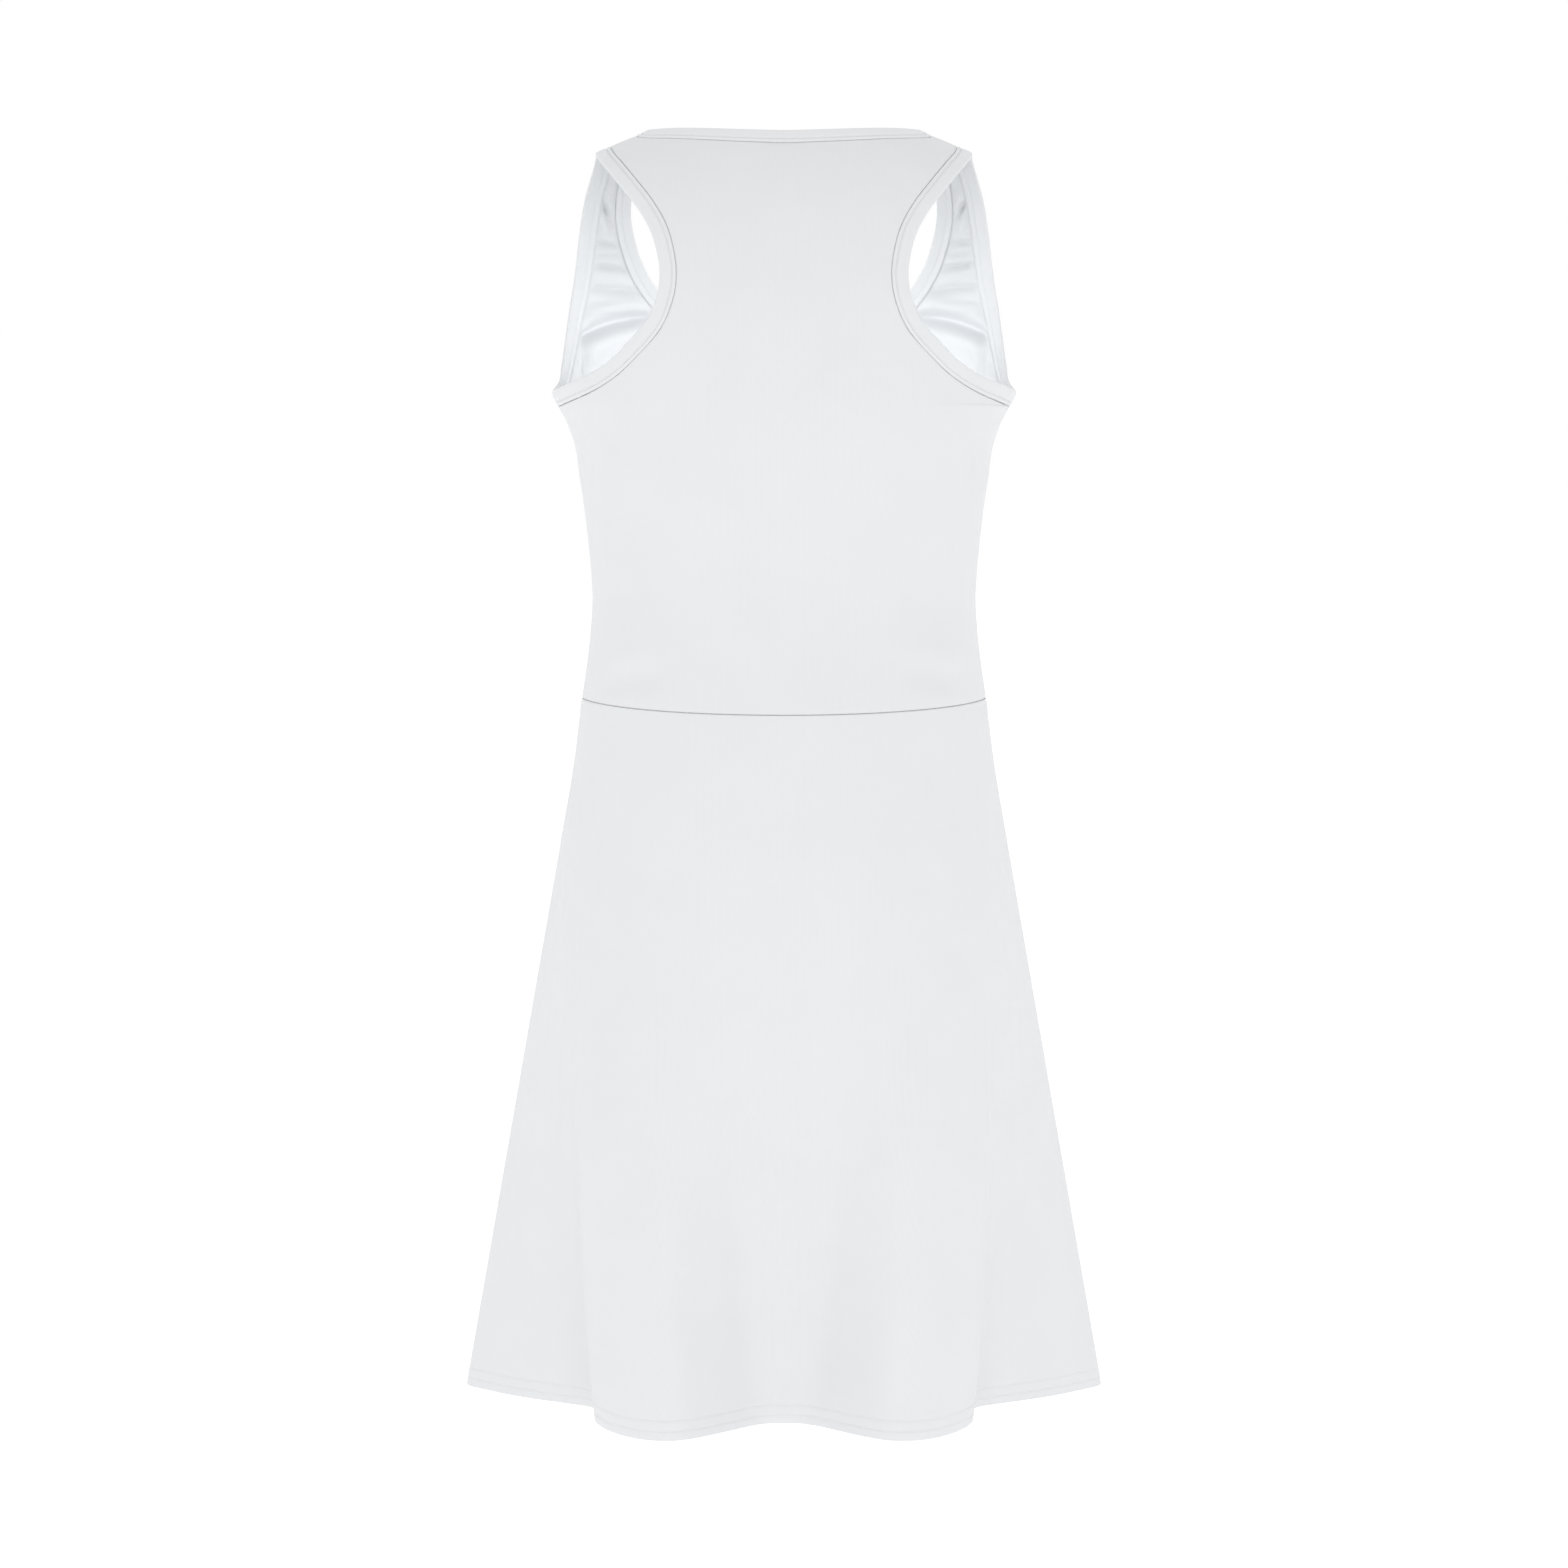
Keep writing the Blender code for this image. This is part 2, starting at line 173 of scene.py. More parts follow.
# Ring down to the hip, then straight lines to the hem ring; the folds grow as a power of the drop
def skirtPoint(turn, level, side):
    form = dressForm
    upper = np.maximum(level, form["hipLevel"])
    x, y = ringPoint(turn, section(upper, 1), section(upper, 2 if side == back else 3), side)
    ringX, ringY = ringPoint(turn, form["hemHalfWidth"], form["hemDepth"][side], side)
    hem = hemRows(side)
    degrees = np.degrees(np.abs(turn))
    hemX = np.sign(turn) * smoothLookup(degrees, hem[:, 0], hem[:, 1])
    hemY = side * smoothLookup(degrees, hem[:, 0], hem[:, 2])
    drop = np.clip((form["hipLevel"] - level) / (form["hipLevel"] - form["hemLevel"]), 0, None)
    grown = drop ** form["foldGrowth"]
    x = x + drop * (ringX - x) + grown * (hemX - ringX)
    y = y + drop * (ringY - y) + grown * (hemY - ringY)
    return np.stack([x, y + side * form["seamGap"] / 2, level + 0 * x], axis=-1)


def waistLevel(turn, side):
    return dressForm["waistLevel"] - dressForm["waistDip"][side] * np.cos(turn) ** 2


# Points at even distances along a seam curve: turn in radians, and level. A neck seam runs on as
# its own mirror image past the centre, so it is round there
def seamCurve(kind, side, steps):
    rows = np.array(seamTables[kind, side])
    last = len(rows) - 1
    if kind == "neck":
        rows = np.vstack([rows, rows[-2] * (-1, 1)])
    keys = np.arange(len(rows), dtype=float)
    at = np.linspace(0, last, 1200)
    turn = np.radians(smoothLookup(at, keys, rows[:, 0]))
    level = np.minimum(smoothLookup(at, keys, rows[:, 1]), 0.0)
    points = bodyPoint(turn, fallOfLevel(level, side), side)
    run = np.concatenate([[0], np.cumsum(np.linalg.norm(np.diff(points, axis=0), axis=1))])
    even = np.linspace(0, run[-1], steps)
    return np.interp(even, run, turn), np.interp(even, run, level)


def turnOnCurve(kind, side, level):
    turn, levels = seamCurve(kind, side, 1200)
    order = np.argsort(levels)
    return np.interp(level, levels[order], turn[order])


# ---- creases and seams in the cloth

# Soft ridges and troughs listed for each panel, in metres and degrees. A positive height
# stands out. Columns: across, level, slant, length, width, height, bend
creases = {
    "back_bodice": (
        (-0.098, -0.352, 6, 0.030, 0.0085, -0.0014, 1.5),
        (0.101, -0.351, -8, 0.027, 0.0080, -0.0013, -1.2),
        (-0.104, -0.338, 10, 0.024, 0.0070, 0.0007, 0.0),
        (0.107, -0.336, -12, 0.021, 0.0070, 0.0007, 0.0),
        (-0.110, -0.300, 14, 0.034, 0.0100, -0.0008, 1.0),
        (0.112, -0.306, -11, 0.030, 0.0110, -0.0008, -1.0),
        (-0.028, -0.215, 78, 0.070, 0.0160, 0.0006, 0.3),
        (0.031, -0.228, -80, 0.060, 0.0150, 0.0006, -0.4),
        (-0.130, -0.205, 62, 0.026, 0.0060, 0.0008, 2.0),
        (0.131, -0.208, -60, 0.024, 0.0060, 0.0008, -2.0),
    ),
    "front_bodice": (
        # a small upright fold on each strap, then short ripples beside the armhole
        (-0.0888, -0.0405, -64, 0.014, 0.0025, 0.0058, 0.0),
        (-0.0835, -0.0500, -58, 0.010, 0.0020, -0.0026, 0.0),
        (-0.0905, -0.0610, -17, 0.016, 0.0022, 0.0034, 3.0),
        (-0.0880, -0.0690, -8, 0.015, 0.0018, 0.0018, -3.0),
        (-0.0890, -0.0775, -11, 0.021, 0.0024, 0.0037, -2.0),
        (-0.0915, -0.0925, -5, 0.025, 0.0027, 0.0031, 2.0),
        (-0.0860, -0.1040, 4, 0.022, 0.0032, -0.0020, -1.0),
        (0.0882, -0.0395, 61, 0.014, 0.0025, 0.0055, 0.0),
        (0.0830, -0.0495, 60, 0.010, 0.0020, -0.0026, 0.0),
        (0.0910, -0.0600, 14, 0.016, 0.0022, 0.0034, -3.0),
        (0.0885, -0.0680, 9, 0.015, 0.0018, 0.0018, 3.0),
        (0.0895, -0.0765, 12, 0.022, 0.0024, 0.0037, 2.0),
        (0.0905, -0.0915, 6, 0.024, 0.0027, 0.0032, -2.0),
        (0.0870, -0.1035, -3, 0.022, 0.0032, -0.0020, 1.0),
        # the deep fold from the bust up beside the armhole, and a short upright one below it
        (-0.0990, -0.1180, 16, 0.036, 0.0050, 0.0076, -2.7),
        (0.0985, -0.1175, -15, 0.037, 0.0050, 0.0074, -2.5),
        (-0.1255, -0.1440, 84, 0.011, 0.0032, 0.0030, 0.0),
        (0.1250, -0.1435, -85, 0.011, 0.0032, 0.0028, 0.0),
        (-0.0880, -0.1350, 22, 0.034, 0.0080, 0.0016, -1.0),
        (0.0890, -0.1340, -21, 0.033, 0.0080, 0.0015, -1.0),
        # drag lines from the bust to the side seam and down to the waist
        (-0.118, -0.205, 28, 0.038, 0.0080, 0.0014, 2.0),
        (0.121, -0.209, -25, 0.035, 0.0080, 0.0014, -2.0),
        (-0.126, -0.232, 38, 0.034, 0.0075, -0.0011, 1.0),
        (0.124, -0.238, -42, 0.030, 0.0075, -0.0011, -1.0),
        (-0.072, -0.268, 72, 0.060, 0.0130, -0.0012, 0.6),
        (0.078, -0.262, -74, 0.064, 0.0135, -0.0013, -0.6),
        (-0.030, -0.310, 84, 0.050, 0.0120, 0.0007, 0.0),
        (0.036, -0.300, -86, 0.055, 0.0120, 0.0007, 0.0),
        (-0.103, -0.346, 8, 0.030, 0.0080, -0.0013, 1.5),
        (0.099, -0.349, -7, 0.028, 0.0085, -0.0013, -1.5),
        (0.000, -0.185, 2, 0.046, 0.0150, -0.0016, 5.0),
    ),
    "back_skirt": (
        (-0.148, -0.560, 86, 0.110, 0.0075, 0.0012, 0.3),
        (0.150, -0.570, -87, 0.105, 0.0075, 0.0012, -0.3),
        (-0.128, -0.640, 88, 0.120, 0.0080, -0.0014, 0.2),
        (0.126, -0.650, -88, 0.115, 0.0080, -0.0014, -0.2),
        (-0.062, -0.730, 89, 0.095, 0.0100, 0.0013, 0.1),
        (0.060, -0.720, -89, 0.100, 0.0100, 0.0013, -0.1),
        (-0.023, -0.700, 90, 0.120, 0.0110, -0.0012, 0.0),
        (0.026, -0.712, 90, 0.110, 0.0110, -0.0012, 0.0),
        (-0.105, -0.445, 70, 0.045, 0.0120, -0.0012, 0.4),
        (0.108, -0.450, -72, 0.042, 0.0120, -0.0012, -0.4),
    ),
    "front_skirt": (
        (-0.152, -0.580, 87, 0.100, 0.0075, 0.0013, 0.3),
        (0.149, -0.565, -86, 0.110, 0.0075, 0.0013, -0.3),
        (-0.122, -0.655, 88, 0.115, 0.0080, -0.0015, 0.2),
        (0.128, -0.640, -88, 0.120, 0.0080, -0.0015, -0.2),
        (-0.054, -0.715, 90, 0.100, 0.0095, 0.0014, 0.1),
        (0.066, -0.725, -89, 0.095, 0.0095, 0.0014, -0.1),
        (-0.020, -0.690, 89, 0.120, 0.0110, -0.0012, 0.0),
        (0.029, -0.705, -90, 0.105, 0.0110, -0.0012, 0.0),
        (-0.060, -0.440, 80, 0.055, 0.0120, 0.0010, 0.4),
        (0.048, -0.452, -82, 0.050, 0.0120, 0.0010, -0.4),
        (0.110, -0.446, -70, 0.042, 0.0110, -0.0012, -0.4),
    ),
}

seamLook = {
    "dip": 0.0007,        # how far the cloth sinks at a seam
    "dipWidth": 0.0005,
    "nearRows": (0.0, 0.0004, 0.0008, 0.0012, 0.0017, 0.0025, 0.0038, 0.0055, 0.0075),
    "puff": 0.00025,      # how far it rises just beside it
    "puffAway": 0.0052,
    "puffWidth": 0.0030,
    "held": 0.0055,       # how far from a seam the creases fade in
    "stitchDip": 0.0004,  # groove that a row of hem stitching pulls in
    "stitchWidth": 0.00045,
}

stitchLook = {
    "pitch": 0.0029,         # from one stitch to the next
    "length": 0.0022,
    "width": 0.00042,
    "height": 0.00030,
    "hemLines": (0.0056, 0.0120),
    "rings": 5,
    "round": 6,
}

unroll = 0.125   # radius in metres by which a turn becomes a distance across the cloth


# Each crease is height * exp(-(v/width)^2) * exp(-(u/length)^4), less a wider shallow
# trough beside it, with u along the crease and v across it, bent by bend * u^2
def creaseHeight(name, turn, level):
    across = turn * unroll
    total = np.zeros(np.broadcast(turn, level).shape)
    for midAcross, midLevel, slant, length, width, height, bend in creases[name]:
        angle = math.radians(slant)
        u = (across - midAcross) * math.cos(angle) + (level - midLevel) * math.sin(angle)
        v = (level - midLevel) * math.cos(angle) - (across - midAcross) * math.sin(angle) - bend * u * u
        ends = np.exp(-((u / length) ** 4))
        beside = 0.4 * np.exp(-(((np.abs(v) - 2.1 * width) / (1.3 * width)) ** 2))
        total += height * ends * (np.exp(-((v / width) ** 2)) - beside)
    return total


# Near a seam the cloth sinks by dip * exp(-(d/dipWidth)^2) and puffs up a little beside it
def seamHeight(distance):
    look = seamLook
    puffed = np.exp(-(((distance - look["puffAway"]) / look["puffWidth"]) ** 2))
    return look["puff"] * puffed - look["dip"] * np.exp(-((distance / look["dipWidth"]) ** 2))


# Groove of a row of topstitching: -depth * exp(-((d - away)/width)^2)
def stitchHeight(distance, away):
    look = seamLook
    return -look["stitchDip"] * np.exp(-(((distance - away) / look["stitchWidth"]) ** 2))


# A seam holds the cloth flat: creases fade in from it as 1 - exp(-(d/held)^2)
def heldFlat(distance):
    return 1 - np.exp(-((distance / seamLook["held"]) ** 2))


# Distance from each point to the nearest of a curve's points, a block of points at a time
def distanceTo(points, curve):
    flat = points.reshape(-1, 3)
    blocks = [np.sqrt(((part[:, None] - curve[None]) ** 2).sum(axis=2).min(axis=1))
              for part in np.array_split(flat, max(1, len(flat) // 2000))]
    return np.concatenate(blocks).reshape(points.shape[:-1])


# Outward normal from the slopes of the form over small steps of turn and fall or level
def formNormals(point, turn, run, side, step=0.0006):
    safe = np.maximum(run, step) if point is bodyPoint else run
    along = point(turn + step, safe, side) - point(turn - step, safe, side)
    down = point(turn, safe + step, side) - point(turn, safe - step, side)
    normal = np.cross(along, down)
    normal /= np.linalg.norm(normal, axis=-1, keepdims=True)
    outward = normal[..., 0] * np.sin(turn) + side * normal[..., 1] * np.cos(turn)
    middle = np.abs(outward) < 0.15   # nearly level cloth on the shoulder faces up
    facing = np.where(middle, normal[..., 2], outward)
    return normal * np.where(facing < 0, -1.0, 1.0)[..., None]


# Cloth of a bodice panel at any turn and level: points on the creased surface, and normals
def bodiceCloth(name, side, turn, level, inset=0.0):
    fall = fallOfLevel(level, side)
    points = bodyPoint(turn, fall, side)
    normals = formNormals(bodyPoint, turn, fall, side)
    edges = [seamEdge(kind, side)[0] for kind in ("neck", "arm")]
    edges = np.concatenate(edges + [edge * np.array([-1.0, 1.0, 1.0]) for edge in edges])
    away = distanceTo(points, edges)
    sideSeam = (math.pi / 2 - np.abs(turn)) * dressForm["cap"][side]
    waist = level - waistLevel(turn, side)
    seams = np.minimum(seamHeight(away), np.minimum(seamHeight(sideSeam), seamHeight(waist)))
    height = creaseHeight(name, turn, level) * heldFlat(away) * heldFlat(np.minimum(sideSeam, waist))
    return points + normals * (height + seams - inset)[..., None], normals


# Cloth of a skirt panel, in the same way. The two panels meet at a sharp fold at the sides, so
# there the cloth sinks straight sideways and neither panel crosses the seam
def skirtCloth(name, side, turn, level, inset=0.0):
    points = skirtPoint(turn, level, side)
    normals = formNormals(skirtPoint, turn, level, side)
    sideSeam = (math.pi / 2 - np.abs(turn)) * unroll
    normals[..., 1] *= heldFlat(sideSeam)
    normals /= np.linalg.norm(normals, axis=-1, keepdims=True)
    waist = waistLevel(turn, side) - level
    seams = np.minimum(seamHeight(sideSeam), seamHeight(waist))
    for above in stitchLook["hemLines"]:
        seams = seams + stitchHeight(np.abs(level - dressForm["hemLevel"]), above) * (inset < 0.0003)
    height = creaseHeight(name, turn, level) * heldFlat(np.minimum(sideSeam, waist))
    return points + normals * (height + seams - inset)[..., None], normals


# The seam curve itself, on the uncreased form, with the normals there
def seamEdge(kind, side, steps=260):
    turn, level = seamCurve(kind, side, steps)
    fall = fallOfLevel(level, side)
    return bodyPoint(turn, fall, side), formNormals(bodyPoint, turn, fall, side)


# ---- meshes


# One mesh from grids of points; each grid's quads join neighbouring rows and columns
def clothMesh(name, grids, uvGrids, material, closed=False):
    vertices, faces, corners, start = [], [], [], 0
    for grid, uv in zip(grids, uvGrids):
        rows, columns = grid.shape[:2]
        index = np.arange(rows * columns).reshape(rows, columns) + start
        if closed:
            index = np.concatenate([index, index[:, :1]], axis=1)
            index = np.concatenate([index, index[:1]], axis=0)
            uv = np.concatenate([uv, uv[:, :1]], axis=1)
            uv = np.concatenate([uv, uv[:1] + (uv[-1, 0, 0] + uv[1, 0, 0], 0)], axis=0)
        quads = np.stack([index[:-1, :-1], index[1:, :-1], index[1:, 1:], index[:-1, 1:]], axis=-1)
        spread = np.stack([uv[:-1, :-1], uv[1:, :-1], uv[1:, 1:], uv[:-1, 1:]], axis=2)
        vertices.append(grid.reshape(-1, 3))
        corners.append(spread.reshape(-1))
        faces.append(quads.reshape(-1, 4))
        start += rows * columns
    vertices, faces = np.concatenate(vertices), np.concatenate(faces)
    mesh = bpy.data.meshes.new(name)
    mesh.from_pydata(vertices.tolist(), [], faces.tolist())
    layer = mesh.uv_layers.new(name="clothMetres")
    layer.data.foreach_set("uv", np.concatenate(corners))
    mesh.polygons.foreach_set("use_smooth", [True] * len(faces))
    mesh.materials.append(material)
    piece = bpy.data.objects.new(name, mesh)
    bpy.context.scene.collection.objects.link(piece)
    return piece


# Joins the points that two grids share along the centre line
def joinCentre(piece, within=0.00002):
    shell = bmesh.new()
    shell.from_mesh(piece.data)
    middle = [v for v in shell.verts if abs(v.co.x) < within]
    bmesh.ops.remove_doubles(shell, verts=middle, dist=within)
    shell.to_mesh(piece.data)
    shell.free()


def giveThickness(piece, thickness):
    wall = piece.modifiers.new("clothThickness", "SOLIDIFY")
    wall.thickness = thickness
    wall.offset = -1


# Distances across and down the cloth, so that its knit keeps one scale. Down is measured along
# the last column unless it is given
def clothUv(points, sign, down=None):
    across = np.linalg.norm(np.diff(points, axis=1), axis=2)
    across = np.concatenate([np.zeros((len(points), 1)), np.cumsum(across, axis=1)], axis=1)
    across += np.abs(points[:, :1, 0])
    if down is None:
        down = np.linalg.norm(np.diff(points[:, -1], axis=0), axis=1)
        down = np.concatenate([[0], np.cumsum(down)])[:, None] + 0 * across
    return np.stack([sign * across, -down], axis=-1)


# ---- materials


def newMaterial(name, look):
    material = bpy.data.materials.new(name)
    material.use_nodes = True
    nodes, links = material.node_tree.nodes, material.node_tree.links
    shader = nodes["Principled BSDF"]
    shader.inputs["Roughness"].default_value = look["roughness"]
    shader.inputs["Sheen Weight"].default_value = look["sheen"]
    shader.inputs["Sheen Roughness"].default_value = look["sheenRoughness"]
    shader.inputs["Specular IOR Level"].default_value = look["specular"]
    return material, nodes, links, shader


def mathNode(nodes, links, operation, first, second=None):
    node = nodes.new("ShaderNodeMath")
    node.operation = operation
    for socket, value in zip(node.inputs, (first, second)):
        if value is None:
            continue
        if isinstance(value, (int, float)):
            socket.default_value = value
        else:
            links.new(value, socket)
    return node.outputs[0]


jerseyLook = {
    "light": (0.724, 0.737, 0.751, 1.0),
    "shade": (0.698, 0.712, 0.727, 1.0),
    "roughness": 0.80,
    "sheen": 0.50,
    "sheenRoughness": 0.32,
    "specular": 0.22,
    "wale": 0.00075,         # width of a column of knit stitches
    "course": 0.00055,       # height of a row of them
    "knitHeight": 0.00008,
    "knitStrength": 0.60,
    "knitPaintedShade": 0.40,      # how much painted shade darkens the hollows between stitches
    "mottleScale": 26.0,
    "fibreScale": 2600.0,
}


# Jersey: columns of small V-shaped stitches, from sin across and a slanted sin down, with a
# faint mottle and fibre noise in the colour, and painted shade in the hollows between the stitches
def jerseyMaterial(name, look):
    material, nodes, links, shader = newMaterial(name, look)
    uv = nodes.new("ShaderNodeUVMap")
    uv.uv_map = "clothMetres"
    split = nodes.new("ShaderNodeSeparateXYZ")
    links.new(uv.outputs["UV"], split.inputs["Vector"])
    column = mathNode(nodes, links, "MULTIPLY", split.outputs["X"], 2 * math.pi / look["wale"])
    row = mathNode(nodes, links, "MULTIPLY", split.outputs["Y"], 2 * math.pi / look["course"])
    ribs = mathNode(nodes, links, "COSINE", column)
    slant = mathNode(nodes, links, "MULTIPLY", mathNode(nodes, links, "ABSOLUTE",
                     mathNode(nodes, links, "SINE", mathNode(nodes, links, "MULTIPLY", column, 0.5))), 2.2)
    loops = mathNode(nodes, links, "SINE", mathNode(nodes, links, "ADD", row, slant))
    knit = mathNode(nodes, links, "ADD", mathNode(nodes, links, "MULTIPLY", ribs, 0.6),
                    mathNode(nodes, links, "MULTIPLY", loops, 0.4))
    place = nodes.new("ShaderNodeTexCoord")
    mottle = nodes.new("ShaderNodeTexNoise")
    mottle.inputs["Scale"].default_value = look["mottleScale"]
    mottle.inputs["Detail"].default_value = 3.0
    fibre = nodes.new("ShaderNodeTexNoise")
    fibre.inputs["Scale"].default_value = look["fibreScale"]
    fibre.inputs["Detail"].default_value = 1.0
    links.new(place.outputs["Object"], mottle.inputs["Vector"])
    links.new(place.outputs["Object"], fibre.inputs["Vector"])
    tone = mathNode(nodes, links, "ADD", mathNode(nodes, links, "MULTIPLY", mottle.outputs["Fac"], 0.7),
                    mathNode(nodes, links, "MULTIPLY", fibre.outputs["Fac"], 0.3))
    # painted shade: the knit pattern also darkens the colour in the hollows between the stitches
    tone = mathNode(nodes, links, "ADD", tone, mathNode(nodes, links, "MULTIPLY", knit, look["knitPaintedShade"]))
    ramp = nodes.new("ShaderNodeValToRGB")
    ramp.color_ramp.elements[0].position = 0.25
    ramp.color_ramp.elements[0].color = look["shade"]
    ramp.color_ramp.elements[1].position = 0.75
    ramp.color_ramp.elements[1].color = look["light"]
    links.new(tone, ramp.inputs["Fac"])
    links.new(ramp.outputs["Color"], shader.inputs["Base Color"])
    bump = nodes.new("ShaderNodeBump")
    bump.inputs["Strength"].default_value = look["knitStrength"]
    bump.inputs["Distance"].default_value = look["knitHeight"]
    links.new(knit, bump.inputs["Height"])
    links.new(bump.outputs["Normal"], shader.inputs["Normal"])
    return material


threadLook = {
    "light": (0.80, 0.81, 0.825, 1.0),
    "shade": (0.62, 0.635, 0.66, 1.0),
    "roughness": 0.60,
    "sheen": 0.10,
    "sheenRoughness": 0.40,
    "specular": 0.35,
    "plyScale": 3800.0,
}


# Sewing thread: fine twisted plies, as a wave along the Object axes with noise in it; its darker bands are
# painted shade between the plies
def threadMaterial(name, look):
    material, nodes, links, shader = newMaterial(name, look)
    place = nodes.new("ShaderNodeTexCoord")
    plies = nodes.new("ShaderNodeTexWave")
    plies.inputs["Scale"].default_value = look["plyScale"]
    plies.inputs["Distortion"].default_value = 2.0
    links.new(place.outputs["Object"], plies.inputs["Vector"])
    ramp = nodes.new("ShaderNodeValToRGB")
    ramp.color_ramp.elements[0].color = look["shade"]
    ramp.color_ramp.elements[1].color = look["light"]
    # painted light and shade across the plies of the twist
    links.new(plies.outputs["Fac"], ramp.inputs["Fac"])
    links.new(ramp.outputs["Color"], shader.inputs["Base Color"])
    return material


jersey = jerseyMaterial("white_jersey_knit", jerseyLook)
bindingLook = dict(jerseyLook, light=(0.732, 0.745, 0.759, 1.0), shade=(0.708, 0.722, 0.737, 1.0))
bindingJersey = jerseyMaterial("white_binding_knit", bindingLook)
thread = threadMaterial("white_thread", threadLook)
print("materials ready")


# ---- bodice panels

bodicePanel = {
    "columns": 52,           # from the centre to the armhole or side seam
    "edgeSteps": (0.0, 0.0004, 0.0009, 0.0014, 0.0018, 0.0022, 0.0026, 0.0031, 0.0038, 0.0048, 0.0060),
    "rowRadius": 0.15,       # turns a row's angle into its rough width
    "upperRows": 150,        # from the shoulder to the underarm
    "sideRows": 80,          # from the underarm to the waist seam
    "sideCrowding": -0.35,   # closer rows toward the underarm
    "thickness": 0.0009,
}


# Row levels of a bodice panel down to the underarm: even steps of the lengths run along its
# neck seam and its armhole seam, taken together
def bodiceLevels(side, panel):
    underarm = seamTables["arm", side][-1][1]
    fall = np.linspace(0, 1, 5000) * fallOfLevel(np.array(underarm), side)
    level = np.minimum(levelOfFall(fall, side), 0.0)
    share = np.zeros(len(fall))
    for kind in ("neck", "arm"):
        points = bodyPoint(turnOnCurve(kind, side, level), fall, side)
        share[1:] += np.cumsum(np.linalg.norm(np.diff(points, axis=0), axis=1))
    return np.interp(np.linspace(0, share[-1], panel["upperRows"]), share, level)


# Columns as shares of a row: a few close to each end, at set distances, and the rest even
def columnShares(width, panel):
    near = np.array(panel["edgeSteps"])[None, :] / width[:, None]
    near = np.minimum(near, 0.28 * near / near[:, -1:])
    even = np.linspace(0, 1, panel["columns"] + 1)[None, 1:-1]
    middle = near[:, -1:] + (1 - 2 * near[:, -1:]) * even
    return np.concatenate([near, middle, 1 - near[:, ::-1]], axis=1)


# Turn runs from the neck seam or the centre to the armhole or side seam, row by row
def bodiceGrid(side, panel):
    upper = bodiceLevels(side, panel)
    inner = turnOnCurve("neck", side, upper)
    outer = turnOnCurve("arm", side, upper)
    shares = columnShares((outer - inner) * panel["rowRadius"], panel)
    turn = inner[:, None] + (outer - inner)[:, None] * shares
    level = upper[:, None] + 0 * turn
    sideTurn = shares[-1:] * math.pi / 2 + np.zeros((panel["sideRows"], 1))
    near = np.array(seamLook["nearRows"])[::-1, None]
    waist = waistLevel(sideTurn[:1], side)
    down = np.linspace(0, 1, panel["sideRows"] + 2 - len(near))[1:-1, None]
    down = down + panel["sideCrowding"] * np.sin(math.pi * down) / math.pi
    sideLevel = np.concatenate([upper[-1] + down * (waist + near[0] - upper[-1]), waist + near])
    return np.concatenate([turn, sideTurn]), np.concatenate([level, sideLevel])


def makeBodice(node, side, panel):
    turn, level = bodiceGrid(side, panel)
    grids, uvs = [], []
    for sign in (-1, 1):
        points, normals = bodiceCloth(node, side, sign * turn, level)
        uv = clothUv(points, sign, fallOfLevel(level, side) * dressForm["cap"][side])
        flip = sign * side > 0
        grids.append(points[:, ::-1] if flip else points)
        uvs.append(uv[:, ::-1] if flip else uv)
    piece = clothMesh(node + "_cloth", grids, uvs, jersey)
    joinCentre(piece)
    giveThickness(piece, panel["thickness"])
    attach(piece, "root")
    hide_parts(node)
    return piece


backBodice = makeBodice("back_bodice", back, bodicePanel)
frontBodice = makeBodice("front_bodice", front, bodicePanel)
print("bodice panels made")


# ---- skirt panels with the hem turned up inside

skirtPanel = {
    "columns": 96,
    "rows": 100,             # down to just above the hem
    "hemOutsideRows": 34,
    "nearShare": 0.036,      # lowest part of the skirt, with closer rows for its stitching
    "hemRows": 8,
    "foldRows": 5,
    "hemTurnUp": 0.0140,
    "hemLayerGap": 0.0017,   # from the outer layer to the turned-up one
    "thickness": 0.0008,
}


# Rows run down the outside, round the fold at the hem as half a circle, and up inside it
def skirtRows(turn, side, panel):
    hem, radius = dressForm["hemLevel"], panel["hemLayerGap"] / 2
    top = waistLevel(turn, side) - dressForm["seamGap"]
    plain, near = panel["rows"], panel["hemOutsideRows"]
    under = np.array(seamLook["nearRows"])[:, None]
    down = np.linspace(0, 1, plain)[1:, None]
    down = np.concatenate([down[:-1] * (1 - panel["nearShare"]),
                           1 - panel["nearShare"] * (1 - np.linspace(0, 1, near)[:, None])])
    start = top - under[-1]
    outside = np.concatenate([top - under, start + down * (hem + radius - start)])
    bend = np.linspace(0, math.pi, panel["foldRows"] + 2)[1:-1, None]
    fold = hem + radius - radius * np.sin(bend) + 0 * turn
    inside = np.linspace(hem + radius, hem + panel["hemTurnUp"], panel["hemRows"])[:, None] + 0 * turn
    inset = np.concatenate([0 * outside, radius * (1 - np.cos(bend)) + 0 * turn, 0 * inside + 2 * radius])
    return np.concatenate([outside, fold, inside]), inset


def makeSkirt(node, side, panel):
    near = np.array(seamLook["nearRows"])[::-1] / unroll
    across = np.linspace(0, math.pi / 2 - near[0], panel["columns"] + 1)[:-1]
    across = np.concatenate([across, math.pi / 2 - near])[None, :]
    level, inset = skirtRows(across, side, panel)
    turn = across + 0 * level
    grids, uvs = [], []
    for sign in (-1, 1):
        points, normals = skirtCloth(node, side, sign * turn, level, inset)
        uv = clothUv(points, sign)
        flip = sign * side > 0
        grids.append(points[:, ::-1] if flip else points)
        uvs.append(uv[:, ::-1] if flip else uv)
    piece = clothMesh(node + "_cloth", grids, uvs, jersey)
    joinCentre(piece)
    giveThickness(piece, panel["thickness"])
    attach(piece, "root")
    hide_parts(node)
    return piece


